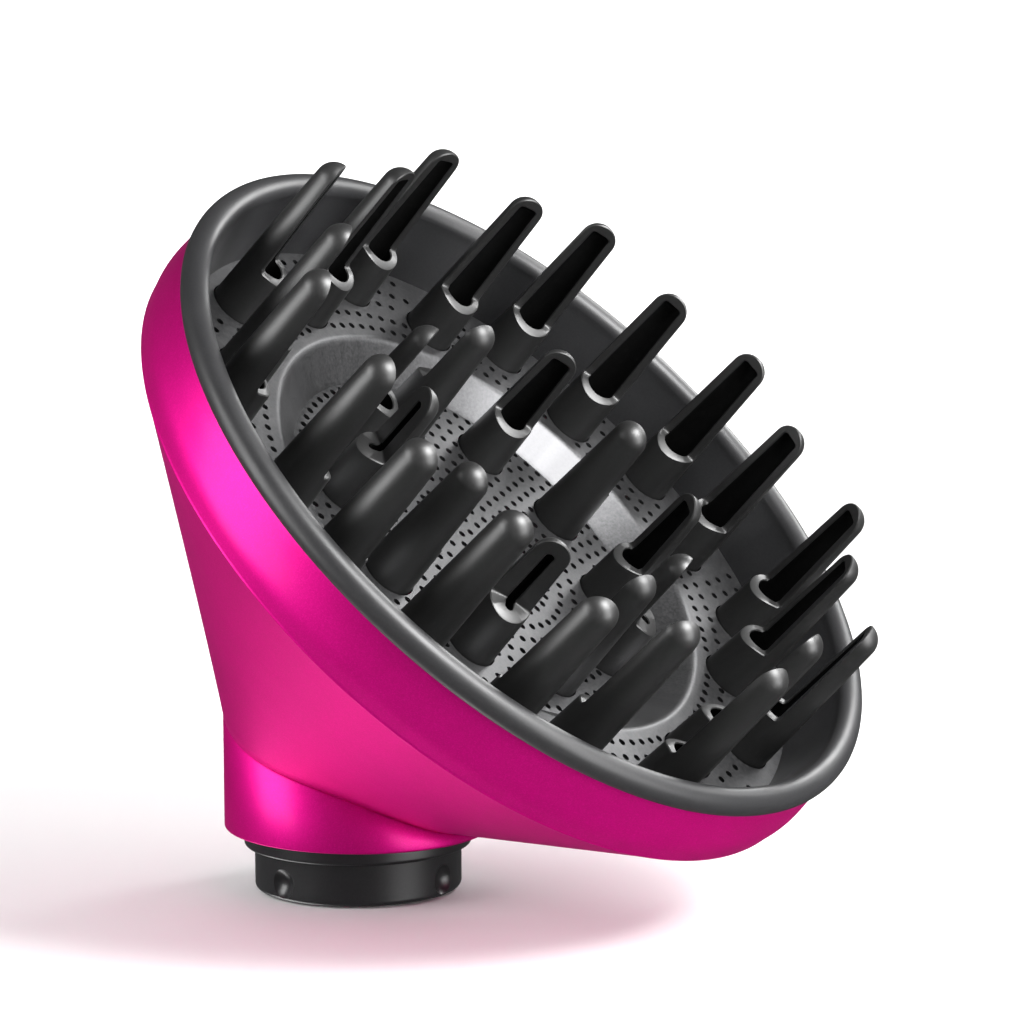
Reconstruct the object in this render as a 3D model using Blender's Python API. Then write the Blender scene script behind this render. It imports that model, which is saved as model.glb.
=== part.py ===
"""Angled diffuser for a hair dryer.

The origin is the centre of the collar's lower end, and +Z runs up the neck's axis. The bowl leans towards
+X. Everything in the bowl is drawn in the bowl's own axes: local Z is the bowl's axis, local X points to
the lowest side of the rim, and height 0 is the rim's plane. Lengths are in metres.
"""

from math import atan2, cos, degrees, hypot, pi, radians, sin

import bmesh
import bpy
from mathutils import Matrix, Vector

# Driving dimensions
BOWL_TILT = radians(45.0)
BOWL_CENTRE = Vector((0.0367, 0.0, 0.0735))
SLIT = 0.0003  # the gap kept between pieces that touch
WALL = 0.0020

# Outer shell: radii and heights in the bowl's axes, then the neck in the world's axes
BAND_TOP = (0.0690, -0.0025)
BAND_SHOULDER = (0.0696, -0.0060)
BAND_WIDEST = (0.0700, -0.0107)
BAND_CREASE = (0.0692, -0.0143)
LEDGE_INNER_RADIUS = 0.0622
LEDGE_OUTER_RADIUS = 0.0652
LEDGE_HEIGHT = -0.0163
LEDGE_FOOT = (0.0622, -0.0184)
BAND_LINING = (
    (0.0674, -0.0135),
    (0.0675, -0.0056),
    (0.0669, -0.0048),
    (0.0674, -0.0038),
    (0.0674, -0.0025),
)
NECK_RADIUS = 0.0232
NECK_CREASE_MEAN = 0.0234
NECK_CREASE_SWING = -0.0104
NECK_CREASE_THIRD = -0.0012
NECK_BOTTOM = 0.0108
LIP_MEAN = 0.0104
LIP_SWING = -0.0004
LIP_LAND = 0.00035
NECK_EDGE = (0.0003, 0.0003)  # how far the edge of the foot reaches in, and down
SHELF_CLEARANCE = 0.0002
CREASE_LIFT = 0.0005
SHELF_RADIUS = 0.0183
SHELF_BOTTOM = 0.0114
SHELF_TOP = 0.0140
SEAT_RADIUS = 0.0201
SHELL_STEPS = 36
CONE_ROWS = 3

# Coupling collar
COLLAR_RADIUS = 0.0180
COLLAR_BORE = 0.0160
COLLAR_STEP = 0.0074
FLARE_RADIUS = 0.0198
FLARE_TOP = 0.0080
FLARE_START = (0.0012, 0.0002)  # outward and upward from the collar's step
COLLAR_EDGE = (0.0008, 0.0010)  # the rounding of the lower edge, inward and upward
SPIGOT_RADIUS = 0.0179
SPIGOT_TOP = 0.0168
SEAL_GROOVE = (0.0114, 0.0136)
SEAL_GROOVE_RADIUS = 0.0168
CLIP_GROOVE = (0.0143, 0.0157)
CLIP_GROOVE_RADIUS = 0.0169
CLIP_RADIUS = 0.0203
CLIP_OPENING = radians(40.0)
POCKET_RADIUS = 0.0026
POCKET_HEIGHT = 0.0030
POCKET_DEPTH = 0.0012
POCKET_ANGLES = (radians(-2.5), radians(-102.0), radians(129.0))
POCKET_STEPS = 12
POCKET_TILTS = (6.0, 22.0, 37.0, 51.0, 65.0)  # degrees away from the middle of the pocket's ball
COLLAR_STEPS = 32

# Rim ring
BEAD_RADIUS = 0.0023
BEAD_CENTRE = (0.0680, -0.00075)
BEAD_STEPS = 6
SKIRT_INSIDE = ((0.0656, -0.0020), (0.0646, -0.0060), (0.0637, -0.0110))
SKIRT_FOOT = (0.0634, 0.0652)
SKIRT_BARB = ((0.0658, -0.0090), (0.0669, -0.0067), (0.0669, -0.0061), (0.0663, -0.0054))
SKIRT_TOP = (0.0663, -0.0030)
BEAD_LAND = 0.0670

# Diffuser plate
PLATE_THICKNESS = 0.0012
PLATE_RADIUS = 0.0650
PLATE_HEIGHT = -0.0136
STEP_TOP_RADIUS = 0.0438
DISC_RADIUS = 0.0372
DISC_HEIGHT = -0.0182
DISC_CENTRE = 0.0010
STEP_ROUNDING = (0.0008, 0.0003, 0.0004)  # the step's edge: outward, inward and down
PLATE_STEPS = 32
VENT_RADIUS = 0.0012
VENT_CIRCLES = ((0.0466, 20, 12.0), (0.0284, 5, 39.0), (0.0195, 12, 0.0), (0.0105, 6, 0.0))

# Hollow fingers: heights above the plate they stand on
FINGER_PHASE = radians(3.0)
OUTER_COUNT = 20
OUTER_NEAR_RADIUS = 0.0509
OUTER_FAR_RADIUS = 0.0565
OUTER_SPLAY = radians(1.6)
OUTER_TIP = 0.0300
INNER_COUNT = 10
INNER_RADIUS = 0.0284
INNER_TIP = 0.0232
NARROW_TIP = 0.0222
FINGER_BASE_RADIUS = 0.0047
FINGER_TIP_RADIUS = 0.0033
FINGER_WALL = 0.0015
SLOT_BOTTOM = 0.0106
NARROW_SLOT_BOTTOM = 0.0116
SLOT_FACE = 0.0004
LIP_FALL = 70.0  # the slot's lip falls away forward with the square of its reach, per metre
LIP_REACHES = (0.0026, 0.0050, 0.0100)
BORE_END = 0.0014  # above the height where the dome begins
BORE_ROUNDING = 0.0005
NARROW_BORE_END = 0.0005
NARROW_BORE = (0.0020, 0.00075)  # half of its depth and half of its width
FLANGE_RADIUS = 0.0058
FLANGE_THICKNESS = 0.0010
FINGER_STEPS = 8
FINGER_HOLE = FINGER_BASE_RADIUS + SLIT
CUT_MARGIN = 0.0010  # how far a cutter reaches past what it cuts
CUT_REACH = 0.0100

# Rings behind the plate and their screws
RETAINER_THICKNESS = 0.0012
AIR_HOLE_RADIUS = 0.0030
OUTER_RETAINER = (0.0450, 0.0616)
INNER_RETAINER = (0.0216, 0.0350)
SCREWS_EACH = 5
OUTER_SCREW_CIRCLE = 0.0592
INNER_SCREW_CIRCLE = 0.0284
SCREW_HEAD_RADIUS = 0.0020
SCREW_HEAD_HEIGHT = 0.0012
SCREW_SHANK_RADIUS = 0.0009
SCREW_BITE = 0.0005
SCREW_STEPS = 6
SCREW_HOLE = 0.0013
BOSS_RADIUS = 0.0022
PILOT_RADIUS = 0.0012

# Rubber pieces
SEAL_WIRE = 0.00068
SEAL_CIRCLE = 0.01755
GASKET = (0.0625, 0.0649)


def clear_scene():
    for obj in list(bpy.data.objects):
        bpy.data.objects.remove(obj, do_unlink=True)


def material(name, colour, roughness, metallic):
    """A Principled BSDF material with one colour."""
    made = bpy.data.materials.new(name)
    made.use_nodes = True
    shader = made.node_tree.nodes["Principled BSDF"]
    shader.inputs["Base Color"].default_value = (*colour, 1.0)
    shader.inputs["Roughness"].default_value = roughness
    shader.inputs["Metallic"].default_value = metallic
    return made


def empty(name, matrix):
    made = bpy.data.objects.new(name, None)
    made.empty_display_size = 0.01
    bpy.context.scene.collection.objects.link(made)
    made.matrix_world = matrix
    return made


def piece(name, mesh, finish, parent):
    """An object in the scene, in its parent's axes."""
    made = bpy.data.objects.new(name, mesh)
    bpy.context.scene.collection.objects.link(made)
    made.parent = parent
    if not mesh.materials:
        mesh.materials.append(finish)
    return made


def finished_mesh(name, built):
    """A mesh from a bmesh, with its faces outward and its round sides shaded smooth."""
    bmesh.ops.recalc_face_normals(built, faces=built.faces)
    mesh = bpy.data.meshes.new(name)
    built.to_mesh(mesh)
    built.free()
    mesh.shade_smooth()
    mesh.set_sharp_from_angle(angle=radians(35.0))
    return mesh


def swept_ring(name, columns):
    """A closed ring from equal columns of points: each column is one cross-section, in order."""
    built = bmesh.new()
    rings = [[built.verts.new(point) for point in column] for column in columns]
    for index, ring in enumerate(rings):
        following = rings[(index + 1) % len(rings)]
        for row in range(len(ring)):
            below = (row + 1) % len(ring)
            built.faces.new((ring[row], ring[below], following[below], following[row]))
    return finished_mesh(name, built)


def turned_ring(name, section, steps):
    """A closed section of (radius, height) points turned about local Z."""
    angles = [2.0 * pi * step / steps for step in range(steps)]
    columns = [[polar(radius, angle, height) for radius, height in section] for angle in angles]
    return swept_ring(name, columns)


def turned_solid(name, profile, steps):
    """A profile of (radius, height) points, bottom to top, turned about local Z and closed at both ends."""
    built = bmesh.new()
    rows = []
    for radius, height in profile:
        angles = [2.0 * pi * step / steps for step in range(steps)]
        rows.append([built.verts.new(polar(radius, angle, height)) for angle in angles])
    for lower, upper in zip(rows, rows[1:]):
        for step in range(steps):
            following = (step + 1) % steps
            built.faces.new((lower[step], lower[following], upper[following], upper[step]))
    built.faces.new(rows[0])
    built.faces.new(rows[-1])
    return finished_mesh(name, built)


def polar(radius, angle, height):
    return Vector((radius * cos(angle), radius * sin(angle), height))


def arc(centre, radius, start, end, steps):
    """Points of an arc in the (radius, height) plane, angles in degrees."""
    turns = [radians(start + (end - start) * step / steps) for step in range(steps + 1)]
    return [(centre[0] + radius * cos(turn), centre[1] + radius * sin(turn)) for turn in turns]


def round_cutter(name, profile, steps, matrix, parent):
    """A hidden body turned about local Z, to cut with."""
    made = piece(name, turned_solid(name, profile, steps), DARK_PLASTIC, parent)
    made.matrix_local = matrix
    made.hide_render = True
    made.display_type = "WIRE"
    return made


def cylinder_cutter(name, radius, low, high, steps, matrix, parent):
    """A hidden cylinder along local Z, to cut holes with."""
    return round_cutter(name, [(radius, low), (radius, high)], steps, matrix, parent)


def joined_cutters(name, cutters):
    """One hidden cutter from several that don't touch each other."""
    with bpy.context.temp_override(
        active_object=cutters[0], object=cutters[0], selected_editable_objects=cutters
    ):
        bpy.ops.object.join()
    cutters[0].name = name
    return cutters[0]


def boolean(target, other, operation):
    modifier = target.modifiers.new(other.name, "BOOLEAN")
    modifier.operation = operation
    modifier.solver = "EXACT"
    modifier.object = other


# Outer shell


def neck_crease(angle):
    """Height of the line where the neck meets the cone: low under the bowl, high behind it."""
    return NECK_CREASE_MEAN + NECK_CREASE_SWING * cos(angle) + NECK_CREASE_THIRD * cos(3.0 * angle)


def between(start, end, rows):
    """Points between two points, without either."""
    return [start.lerp(end, row / (rows + 1.0)) for row in range(1, rows + 1)]


def shell_column(angle, bowl_matrix):
    """One cross-section of the shell, down its outside and up its inside."""

    def bowl(radius, height):
        return bowl_matrix @ polar(radius, angle, height)

    def neck(radius, height):
        return polar(radius, angle, height)

    crease = neck(NECK_RADIUS, neck_crease(angle))
    bowl_crease = bowl(*BAND_CREASE)
    swing = LIP_SWING * cos(angle)
    lip_height = LIP_MEAN + swing
    outside = [bowl(*BAND_TOP), bowl(*BAND_SHOULDER), bowl(*BAND_WIDEST), bowl_crease]
    outside += between(bowl_crease, crease, CONE_ROWS)
    outside += [
        crease,
        neck(NECK_RADIUS, NECK_BOTTOM + swing),
        neck(NECK_RADIUS - NECK_EDGE[0], NECK_BOTTOM - NECK_EDGE[1] + swing),
        neck(SEAT_RADIUS + LIP_LAND, lip_height),
    ]
    inner_height = max(neck_crease(angle) + CREASE_LIFT, SHELF_TOP + SHELF_CLEARANCE)
    inner_crease = neck(NECK_RADIUS - WALL, inner_height)
    ledge_foot = bowl(*LEDGE_FOOT)
    inside = [
        neck(SEAT_RADIUS, lip_height),
        neck(SEAT_RADIUS, SHELF_BOTTOM),
        neck(SHELF_RADIUS, SHELF_BOTTOM),
        neck(SHELF_RADIUS, SHELF_TOP),
        neck(NECK_RADIUS - WALL, SHELF_TOP),
        inner_crease,
    ]
    inside += between(inner_crease, ledge_foot, CONE_ROWS)
    inside += [ledge_foot, bowl(LEDGE_INNER_RADIUS, LEDGE_HEIGHT), bowl(LEDGE_OUTER_RADIUS, LEDGE_HEIGHT)]
    inside += [bowl(radius, height) for radius, height in BAND_LINING]
    return outside + inside


def build_shell():
    bowl_matrix = bowl_axes()
    angles = [2.0 * pi * step / SHELL_STEPS for step in range(SHELL_STEPS)]
    mesh = swept_ring("outer_shell", [shell_column(angle, bowl_matrix) for angle in angles])
    piece("outer_shell", mesh, SHELL_PAINT, None)


# Bowl pieces


def bowl_axes():
    return Matrix.Translation(BOWL_CENTRE) @ Matrix.Rotation(BOWL_TILT, 4, "Y")


def build_rim_ring(bowl):
    """The rounded bead over the shell's edge, and the skirt that presses on the plate."""
    seat = BAND_TOP[1] + SLIT
    reach = atan2(seat - BEAD_CENTRE[1], (BEAD_RADIUS**2 - (seat - BEAD_CENTRE[1]) ** 2) ** 0.5)
    skirt_foot = PLATE_HEIGHT + SLIT
    section = arc(BEAD_CENTRE, BEAD_RADIUS, degrees(reach), 180.0, BEAD_STEPS)
    section += SKIRT_INSIDE
    section += [(SKIRT_FOOT[0], skirt_foot), (SKIRT_FOOT[1], skirt_foot)]
    section += SKIRT_BARB
    section += [SKIRT_TOP, (BEAD_LAND, seat)]
    piece("rim_ring", turned_ring("rim_ring", section, SHELL_STEPS), DARK_PLASTIC, bowl)


def finger_places():
    """(name, matrix, kind) of each finger's foot in the bowl's axes; local +X is the way its slot faces."""
    places = []
    for index in range(OUTER_COUNT):
        angle = FINGER_PHASE + 2.0 * pi * index / OUTER_COUNT
        radius = OUTER_FAR_RADIUS if index % 2 else OUTER_NEAR_RADIUS
        turn = Matrix.Rotation(angle + pi, 4, "Z") @ Matrix.Rotation(-OUTER_SPLAY, 4, "Y")
        place = Matrix.Translation(polar(radius, angle, PLATE_HEIGHT)) @ turn
        places.append((f"outer_finger_{index + 1:02d}", place, "outer"))
    for index in range(INNER_COUNT):
        angle = FINGER_PHASE + 2.0 * pi * (index + 0.5) / INNER_COUNT
        facing = angle + pi * (index % 2)
        turn = Matrix.Rotation(facing, 4, "Z")
        place = Matrix.Translation(polar(INNER_RADIUS, angle, DISC_HEIGHT)) @ turn
        places.append((f"inner_finger_{index + 1:02d}", place, "inner" if index % 2 else "narrow"))
    return places


def screw_places():
    """(angle, circle, height of the plate's underside) of each retainer screw."""
    places = []
    for index in range(SCREWS_EACH):
        angle = FINGER_PHASE + 2.0 * pi * (index + 0.5) / SCREWS_EACH
        places.append((angle, OUTER_SCREW_CIRCLE, PLATE_HEIGHT - PLATE_THICKNESS))
    for index in range(SCREWS_EACH):
        angle = FINGER_PHASE + 2.0 * pi * index / SCREWS_EACH
        places.append((angle, INNER_SCREW_CIRCLE, DISC_HEIGHT - PLATE_THICKNESS))
    return places


def build_plate(bowl):
    """The stepped plate, with a hole for each finger, screw bosses below it and its larger vents."""
    lean = hypot(STEP_TOP_RADIUS - DISC_RADIUS, PLATE_HEIGHT - DISC_HEIGHT)
    sideways = PLATE_THICKNESS * (PLATE_HEIGHT - DISC_HEIGHT) / lean
    under = PLATE_THICKNESS
    outward, inward, down = STEP_ROUNDING
    profile = [
        (DISC_CENTRE, DISC_HEIGHT - under),
        (DISC_RADIUS + sideways * 0.5, DISC_HEIGHT - under),
        (STEP_TOP_RADIUS + sideways * 0.5, PLATE_HEIGHT - under),
        (PLATE_RADIUS, PLATE_HEIGHT - under),
        (PLATE_RADIUS, PLATE_HEIGHT),
        (STEP_TOP_RADIUS + outward, PLATE_HEIGHT),
        (STEP_TOP_RADIUS - inward, PLATE_HEIGHT - down),
        (DISC_RADIUS, DISC_HEIGHT),
        (DISC_CENTRE, DISC_HEIGHT),
    ]
    mesh = turned_solid("diffuser_plate", profile, PLATE_STEPS)
    plate = piece("diffuser_plate", mesh, PLATE_METAL, bowl)

    low = DISC_HEIGHT - 0.0040
    cutters = []
    for name, place, _ in finger_places():
        centre = place.translation
        turn = Matrix.Rotation(atan2(centre.y, centre.x), 4, "Z")
        at = Matrix.Translation((centre.x, centre.y, 0.0)) @ turn
        cutters.append(cylinder_cutter("hole_" + name, FINGER_HOLE, low, 0.0, FINGER_STEPS, at, bowl))
    for radius, count, first in VENT_CIRCLES:
        for index in range(count):
            angle = radians(first) + 2.0 * pi * index / count
            at = Matrix.Translation(polar(radius, angle, 0.0))
            cutters.append(cylinder_cutter("vent", VENT_RADIUS, low, 0.0, 6, at, bowl))
    bosses = []
    for angle, circle, underside in screw_places():
        at = Matrix.Translation(polar(circle, angle, underside))
        foot = -FLANGE_THICKNESS - SLIT
        bosses.append(cylinder_cutter("boss", BOSS_RADIUS, foot, PLATE_THICKNESS * 0.4, 8, at, bowl))
        pilot_top = SCREW_BITE + SLIT
        cutters.append(cylinder_cutter("pilot", PILOT_RADIUS, foot - CUT_MARGIN, pilot_top, 8, at, bowl))
    boolean(plate, joined_cutters("screw_bosses", bosses), "UNION")
    boolean(plate, joined_cutters("plate_cutter", cutters), "DIFFERENCE")


def finger_mesh(name, tip_height, slot_bottom, is_narrow):
    """A hollow finger on its flange: a domed, tapered tube whose front is open above the slot's lip."""
    top_of_flange = -PLATE_THICKNESS - SLIT
    base = top_of_flange - FLANGE_THICKNESS
    shoulder = radians(45.0)
    outside = [
        (FLANGE_RADIUS, base),
        (FLANGE_RADIUS, top_of_flange),
        (FINGER_BASE_RADIUS, top_of_flange),
        (FINGER_TIP_RADIUS, tip_height),
        (FINGER_TIP_RADIUS * cos(shoulder), tip_height + FINGER_TIP_RADIUS * sin(shoulder)),
        (FINGER_TIP_RADIUS * 0.12, tip_height + FINGER_TIP_RADIUS),
    ]
    body = piece(name, turned_solid(name, outside, FINGER_STEPS), DARK_PLASTIC, None)
    if is_narrow:
        reach, half_width = NARROW_BORE
        top = tip_height + NARROW_BORE_END
        bore = block(name + "_bore", (-reach, -half_width, base - CUT_MARGIN), (reach, half_width, top))
    else:
        bore_radius = FINGER_TIP_RADIUS - FINGER_WALL
        inside = [
            (FINGER_BASE_RADIUS - FINGER_WALL, base - CUT_MARGIN),
            (bore_radius, tip_height + BORE_END - BORE_ROUNDING),
            (bore_radius - BORE_ROUNDING, tip_height + BORE_END),
        ]
        bore = piece(name + "_bore", turned_solid(name + "_bore", inside, FINGER_STEPS), DARK_PLASTIC, None)
    front = front_cutter(name + "_front", slot_bottom, tip_height + CUT_REACH)
    boolean(body, bore, "DIFFERENCE")
    boolean(body, front, "DIFFERENCE")
    graph = bpy.context.evaluated_depsgraph_get()
    mesh = bpy.data.meshes.new_from_object(body.evaluated_get(graph))
    mesh.name = name
    for helper in (body, bore, front):
        bpy.data.objects.remove(helper, do_unlink=True)
    return mesh


def front_cutter(name, slot_bottom, top):
    """What is cut from a finger's front. Its underside falls away forward, which slopes the slot's lip."""
    profile = [(SLOT_FACE, top), (SLOT_FACE, slot_bottom)]
    profile += [(reach, slot_bottom - LIP_FALL * reach**2) for reach in LIP_REACHES]
    profile.append((LIP_REACHES[-1], top))
    built = bmesh.new()
    sides = []
    for across in (-CUT_REACH, CUT_REACH):
        sides.append([built.verts.new((x, across, z)) for x, z in profile])
    for index in range(len(profile)):
        following = (index + 1) % len(profile)
        built.faces.new((sides[0][index], sides[0][following], sides[1][following], sides[1][index]))
    built.faces.new(sides[0])
    built.faces.new(sides[1])
    return piece(name, finished_mesh(name, built), DARK_PLASTIC, None)


def block(name, low, high):
    """A box between two corners."""
    built = bmesh.new()
    bmesh.ops.create_cube(built, size=1.0)
    for vertex in built.verts:
        for axis in range(3):
            vertex.co[axis] = high[axis] if vertex.co[axis] > 0.0 else low[axis]
    return piece(name, finished_mesh(name, built), DARK_PLASTIC, None)


def build_fingers(bowl):
    meshes = {
        "outer": finger_mesh("long_finger", OUTER_TIP, SLOT_BOTTOM, False),
        "inner": finger_mesh("short_finger", INNER_TIP, SLOT_BOTTOM, False),
        "narrow": finger_mesh("narrow_slot_finger", NARROW_TIP, NARROW_SLOT_BOTTOM, True),
    }
    for name, place, kind in finger_places():
        made = piece(name, meshes[kind], DARK_PLASTIC, bowl)
        made.matrix_local = place


def build_retainer(name, radii, underside, is_outer, bowl):
    """A flat ring that traps the fingers' flanges, with an air hole under each finger."""
    top = underside - SLIT - FLANGE_THICKNESS - SLIT
    low = top - RETAINER_THICKNESS
    section = [(radii[0], low), (radii[1], low), (radii[1], top), (radii[0], top)]
    ring = piece(name, turned_ring(name, section, SHELL_STEPS), DARK_PLASTIC, bowl)
    cutters = []
    bottom = low - CUT_MARGIN
    end = top + CUT_MARGIN
    for finger, place, kind in finger_places():
        if (kind == "outer") == is_outer:
            at = Matrix.Translation((place.translation.x, place.translation.y, 0.0))
            cutters.append(cylinder_cutter("air_" + finger, AIR_HOLE_RADIUS, bottom, end, 8, at, bowl))
    for angle, circle, plate_underside in screw_places():
        if plate_underside == underside:
            at = Matrix.Translation(polar(circle, angle, 0.0))
            cutters.append(cylinder_cutter("screw", SCREW_HOLE, bottom, end, 8, at, bowl))
    boolean(ring, joined_cutters(name + "_cutter", cutters), "DIFFERENCE")


def build_screws(bowl):
    """Pan-head screws that rise through the retainers into the plate's underside."""
    head_gap = FLANGE_THICKNESS + RETAINER_THICKNESS + 3.0 * SLIT
    profile = [
        (SCREW_HEAD_RADIUS * 0.6, -SCREW_HEAD_HEIGHT),
        (SCREW_HEAD_RADIUS, -SCREW_HEAD_HEIGHT * 0.5),
        (SCREW_HEAD_RADIUS, 0.0),
        (SCREW_SHANK_RADIUS, 0.0),
        (SCREW_SHANK_RADIUS, head_gap + SCREW_BITE),
    ]
    mesh = turned_solid("retainer_screw", profile, SCREW_STEPS)
    for index, (angle, circle, underside) in enumerate(screw_places()):
        made = piece(f"retainer_screw_{index + 1:02d}", mesh, SCREW_STEEL, bowl)
        made.location = polar(circle, angle, underside - head_gap)


def build_gasket(bowl):
    low = LEDGE_HEIGHT + SLIT
    high = PLATE_HEIGHT - PLATE_THICKNESS - SLIT
    section = [(GASKET[0], low), (GASKET[1], low), (GASKET[1], high), (GASKET[0], high)]
    piece("plate_gasket", turned_ring("plate_gasket", section, SHELL_STEPS), RUBBER, bowl)


# Neck pieces


def pocket_profile():
    """The side of a ball that leaves a dished pocket of the wanted radius and depth."""
    ball = (POCKET_RADIUS ** 2 + POCKET_DEPTH ** 2) / (2.0 * POCKET_DEPTH)
    centre = COLLAR_RADIUS - POCKET_DEPTH + ball
    return [(ball * sin(radians(tilt)), centre - ball * cos(radians(tilt))) for tilt in POCKET_TILTS]


def build_collar(swivel):
    """The push-in collar: a plain ring below, a wider shoulder, and a spigot with two grooves."""
    inward, upward = COLLAR_EDGE
    section = [
        (COLLAR_BORE, 0.0),
        (COLLAR_RADIUS - inward, 0.0),
        (COLLAR_RADIUS - inward * 0.25, upward * 0.3),
        (COLLAR_RADIUS, upward),
        (COLLAR_RADIUS, COLLAR_STEP),
        (COLLAR_RADIUS + FLARE_START[0], COLLAR_STEP + FLARE_START[1]),
        (FLARE_RADIUS, FLARE_TOP),
        (FLARE_RADIUS, SHELF_BOTTOM - SLIT),
        (SPIGOT_RADIUS, SHELF_BOTTOM - SLIT),
        (SPIGOT_RADIUS, SEAL_GROOVE[0]),
        (SEAL_GROOVE_RADIUS, SEAL_GROOVE[0]),
        (SEAL_GROOVE_RADIUS, SEAL_GROOVE[1]),
        (SPIGOT_RADIUS, SEAL_GROOVE[1]),
        (SPIGOT_RADIUS, CLIP_GROOVE[0]),
        (CLIP_GROOVE_RADIUS, CLIP_GROOVE[0]),
        (CLIP_GROOVE_RADIUS, CLIP_GROOVE[1]),
        (SPIGOT_RADIUS, CLIP_GROOVE[1]),
        (SPIGOT_RADIUS, SPIGOT_TOP),
        (COLLAR_BORE, SPIGOT_TOP),
    ]
    mesh = turned_ring("coupling_collar", section, COLLAR_STEPS)
    collar = piece("coupling_collar", mesh, BLACK_PLASTIC, swivel)
    cutters = []
    for angle in POCKET_ANGLES:
        outward = Matrix.Rotation(angle, 4, "Z") @ Matrix.Rotation(pi / 2.0, 4, "Y")
        at = Matrix.Translation((0.0, 0.0, POCKET_HEIGHT)) @ outward
        cutters.append(round_cutter("pocket", pocket_profile(), POCKET_STEPS, at, swivel))
    boolean(collar, joined_cutters("pocket_cutter", cutters), "DIFFERENCE")


def build_retaining_ring(swivel):
    """An open spring ring in the collar's upper groove, resting on the shell's shelf."""
    low = CLIP_GROOVE[0] + SLIT
    high = CLIP_GROOVE[1] - SLIT
    inner = CLIP_GROOVE_RADIUS + SLIT
    section = [(inner, low), (CLIP_RADIUS, low), (CLIP_RADIUS, high), (inner, high)]
    built = bmesh.new()
    turn = (2.0 * pi - CLIP_OPENING) / COLLAR_STEPS
    rows = []
    for step in range(COLLAR_STEPS + 1):
        angle = pi + CLIP_OPENING / 2.0 + turn * step
        rows.append([built.verts.new(polar(radius, angle, height)) for radius, height in section])
    for near, far in zip(rows, rows[1:]):
        for corner in range(4):
            following = (corner + 1) % 4
            built.faces.new((near[corner], near[following], far[following], far[corner]))
    built.faces.new(rows[0])
    built.faces.new(rows[-1])
    piece("collar_retaining_ring", finished_mesh("collar_retaining_ring", built), SCREW_STEEL, swivel)


def build_seal(swivel):
    centre = (SEAL_CIRCLE, (SEAL_GROOVE[0] + SEAL_GROOVE[1]) / 2.0)
    section = arc(centre, SEAL_WIRE, 0.0, 300.0, 5)
    piece("collar_seal", turned_ring("collar_seal", section, COLLAR_STEPS), RUBBER, swivel)


clear_scene()
SHELL_PAINT = material("magenta_shell", (0.52, 0.004, 0.19), 0.32, 0.55)
DARK_PLASTIC = material("dark_grey_plastic", (0.035, 0.035, 0.037), 0.42, 0.0)
BLACK_PLASTIC = material("black_plastic", (0.018, 0.018, 0.019), 0.35, 0.0)
PLATE_METAL = material("grey_metallic", (0.32, 0.32, 0.33), 0.33, 0.85)
SCREW_STEEL = material("steel", (0.55, 0.55, 0.56), 0.30, 1.0)
RUBBER = material("black_rubber", (0.02, 0.02, 0.02), 0.80, 0.0)
bowl_empty = empty("bowl_axis", bowl_axes())
swivel_empty = empty("swivel_axis", Matrix.Identity(4))
bpy.context.view_layer.update()
build_shell()
build_rim_ring(bowl_empty)
build_plate(bowl_empty)
build_fingers(bowl_empty)
build_retainer("outer_finger_retainer", OUTER_RETAINER, PLATE_HEIGHT - PLATE_THICKNESS, True, bowl_empty)
build_retainer("inner_finger_retainer", INNER_RETAINER, DISC_HEIGHT - PLATE_THICKNESS, False, bowl_empty)
build_screws(bowl_empty)
build_gasket(bowl_empty)
build_collar(swivel_empty)
build_retaining_ring(swivel_empty)
build_seal(swivel_empty)
bpy.context.view_layer.update()
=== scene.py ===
"""Looks of the angled diffuser for a hair dryer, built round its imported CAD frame.

The frame's origin is the centre of the collar's lower end, and +Z runs up the neck's axis. Pieces of
the bowl are drawn in the bowl's own axes: local Z is the bowl's axis, local X points to the lowest side
of the rim, and height 0 is the rim's plane. Lengths are in metres.
"""

from math import asin, atan2, copysign, cos, pi, radians, sin

import bmesh
import bpy
from mathutils import Matrix, Vector
from mathutils.geometry import delaunay_2d_cdt


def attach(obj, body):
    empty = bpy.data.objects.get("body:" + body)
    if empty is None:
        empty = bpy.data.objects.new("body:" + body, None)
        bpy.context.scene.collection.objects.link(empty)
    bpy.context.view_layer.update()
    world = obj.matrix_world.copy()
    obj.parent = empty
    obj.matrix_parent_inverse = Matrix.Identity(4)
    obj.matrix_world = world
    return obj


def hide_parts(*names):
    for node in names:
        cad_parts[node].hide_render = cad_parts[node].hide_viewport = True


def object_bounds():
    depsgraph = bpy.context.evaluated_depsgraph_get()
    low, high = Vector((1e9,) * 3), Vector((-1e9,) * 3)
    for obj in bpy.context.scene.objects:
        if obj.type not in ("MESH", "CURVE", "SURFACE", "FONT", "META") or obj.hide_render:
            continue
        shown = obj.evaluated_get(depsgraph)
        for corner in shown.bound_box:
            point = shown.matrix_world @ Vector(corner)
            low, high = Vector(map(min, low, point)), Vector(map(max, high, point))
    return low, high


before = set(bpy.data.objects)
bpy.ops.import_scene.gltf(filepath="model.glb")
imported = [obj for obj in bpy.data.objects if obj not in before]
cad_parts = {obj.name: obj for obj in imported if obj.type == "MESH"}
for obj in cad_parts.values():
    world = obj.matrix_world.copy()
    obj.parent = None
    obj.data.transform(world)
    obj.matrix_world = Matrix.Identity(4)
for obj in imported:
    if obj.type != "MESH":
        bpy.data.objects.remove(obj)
cad_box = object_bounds()

# The bowl's axes, as in the CAD model
BOWL_TILT = radians(45.0)
BOWL_CENTRE = Vector((0.0367, 0.0, 0.0735))
BOWL = Matrix.Translation(BOWL_CENTRE) @ Matrix.Rotation(BOWL_TILT, 4, "Y")

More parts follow.
